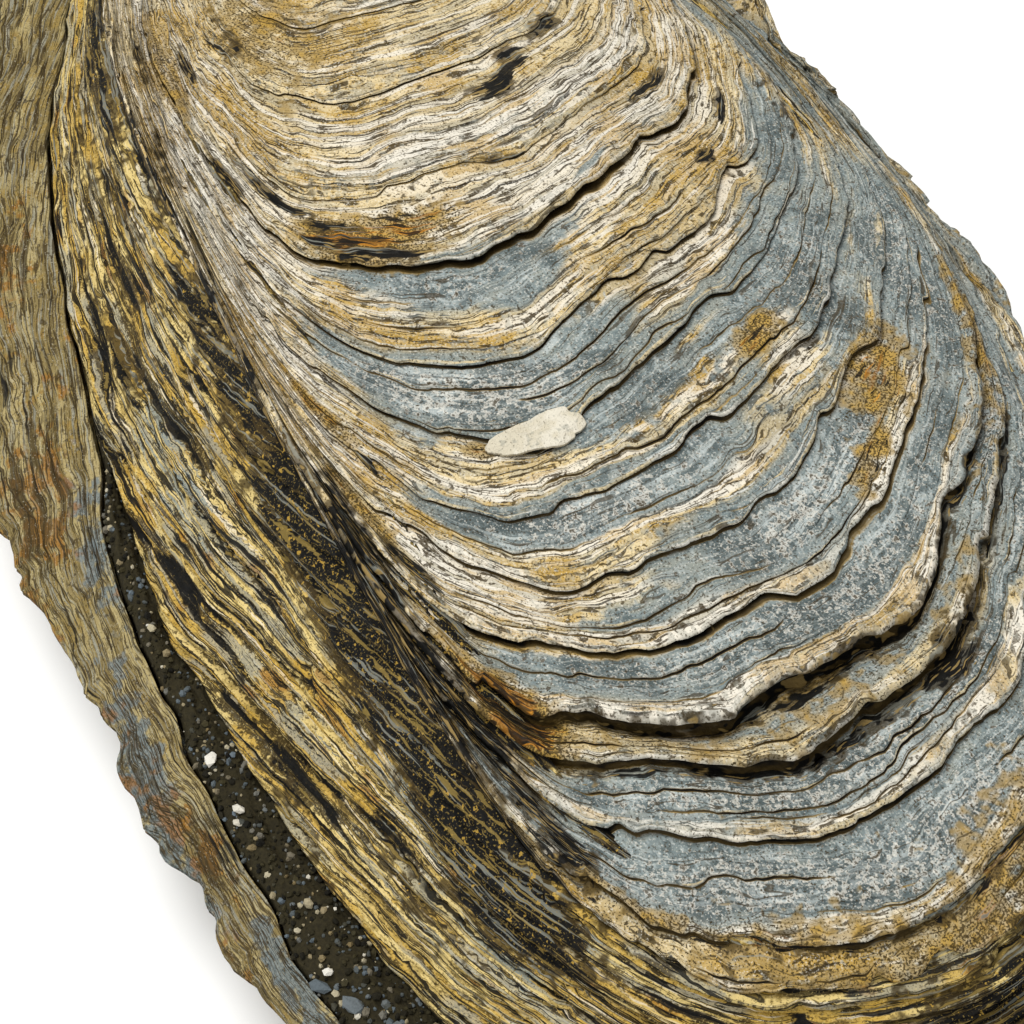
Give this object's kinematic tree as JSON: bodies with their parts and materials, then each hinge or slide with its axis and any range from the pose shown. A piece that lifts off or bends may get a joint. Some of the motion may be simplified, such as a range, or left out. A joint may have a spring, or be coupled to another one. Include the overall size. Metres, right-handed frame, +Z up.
{
  "type": "fossil oyster shell",
  "caption": "Large fossil oyster, closed over hardened sediment: a domed upper valve of stepped growth layers on a shallow cupped lower valve. A display piece that lies on any level surface.",
  "frame": {"origin": "middle of the bounding box, on the surface the shell rests on", "axes": "+X from the beak (hinge end) to the ventral tip, -Y to the tall side with the stacked layer edges, +Z up"},
  "size_m": [0.1494, 0.086, 0.0366],
  "materials": {
    "upper_shell": "weathered layered shell, matte with a faint satin sheen",
    "lower_shell": "weathered layered shell, stained, matte",
    "sediment": "dark cemented sand and grit, dull"
  },
  "bodies": {
    "root": {"upper_valve": "upper_shell", "lower_valve": "lower_shell", "sediment_fill": "sediment"}
  },
  "joints": []
}
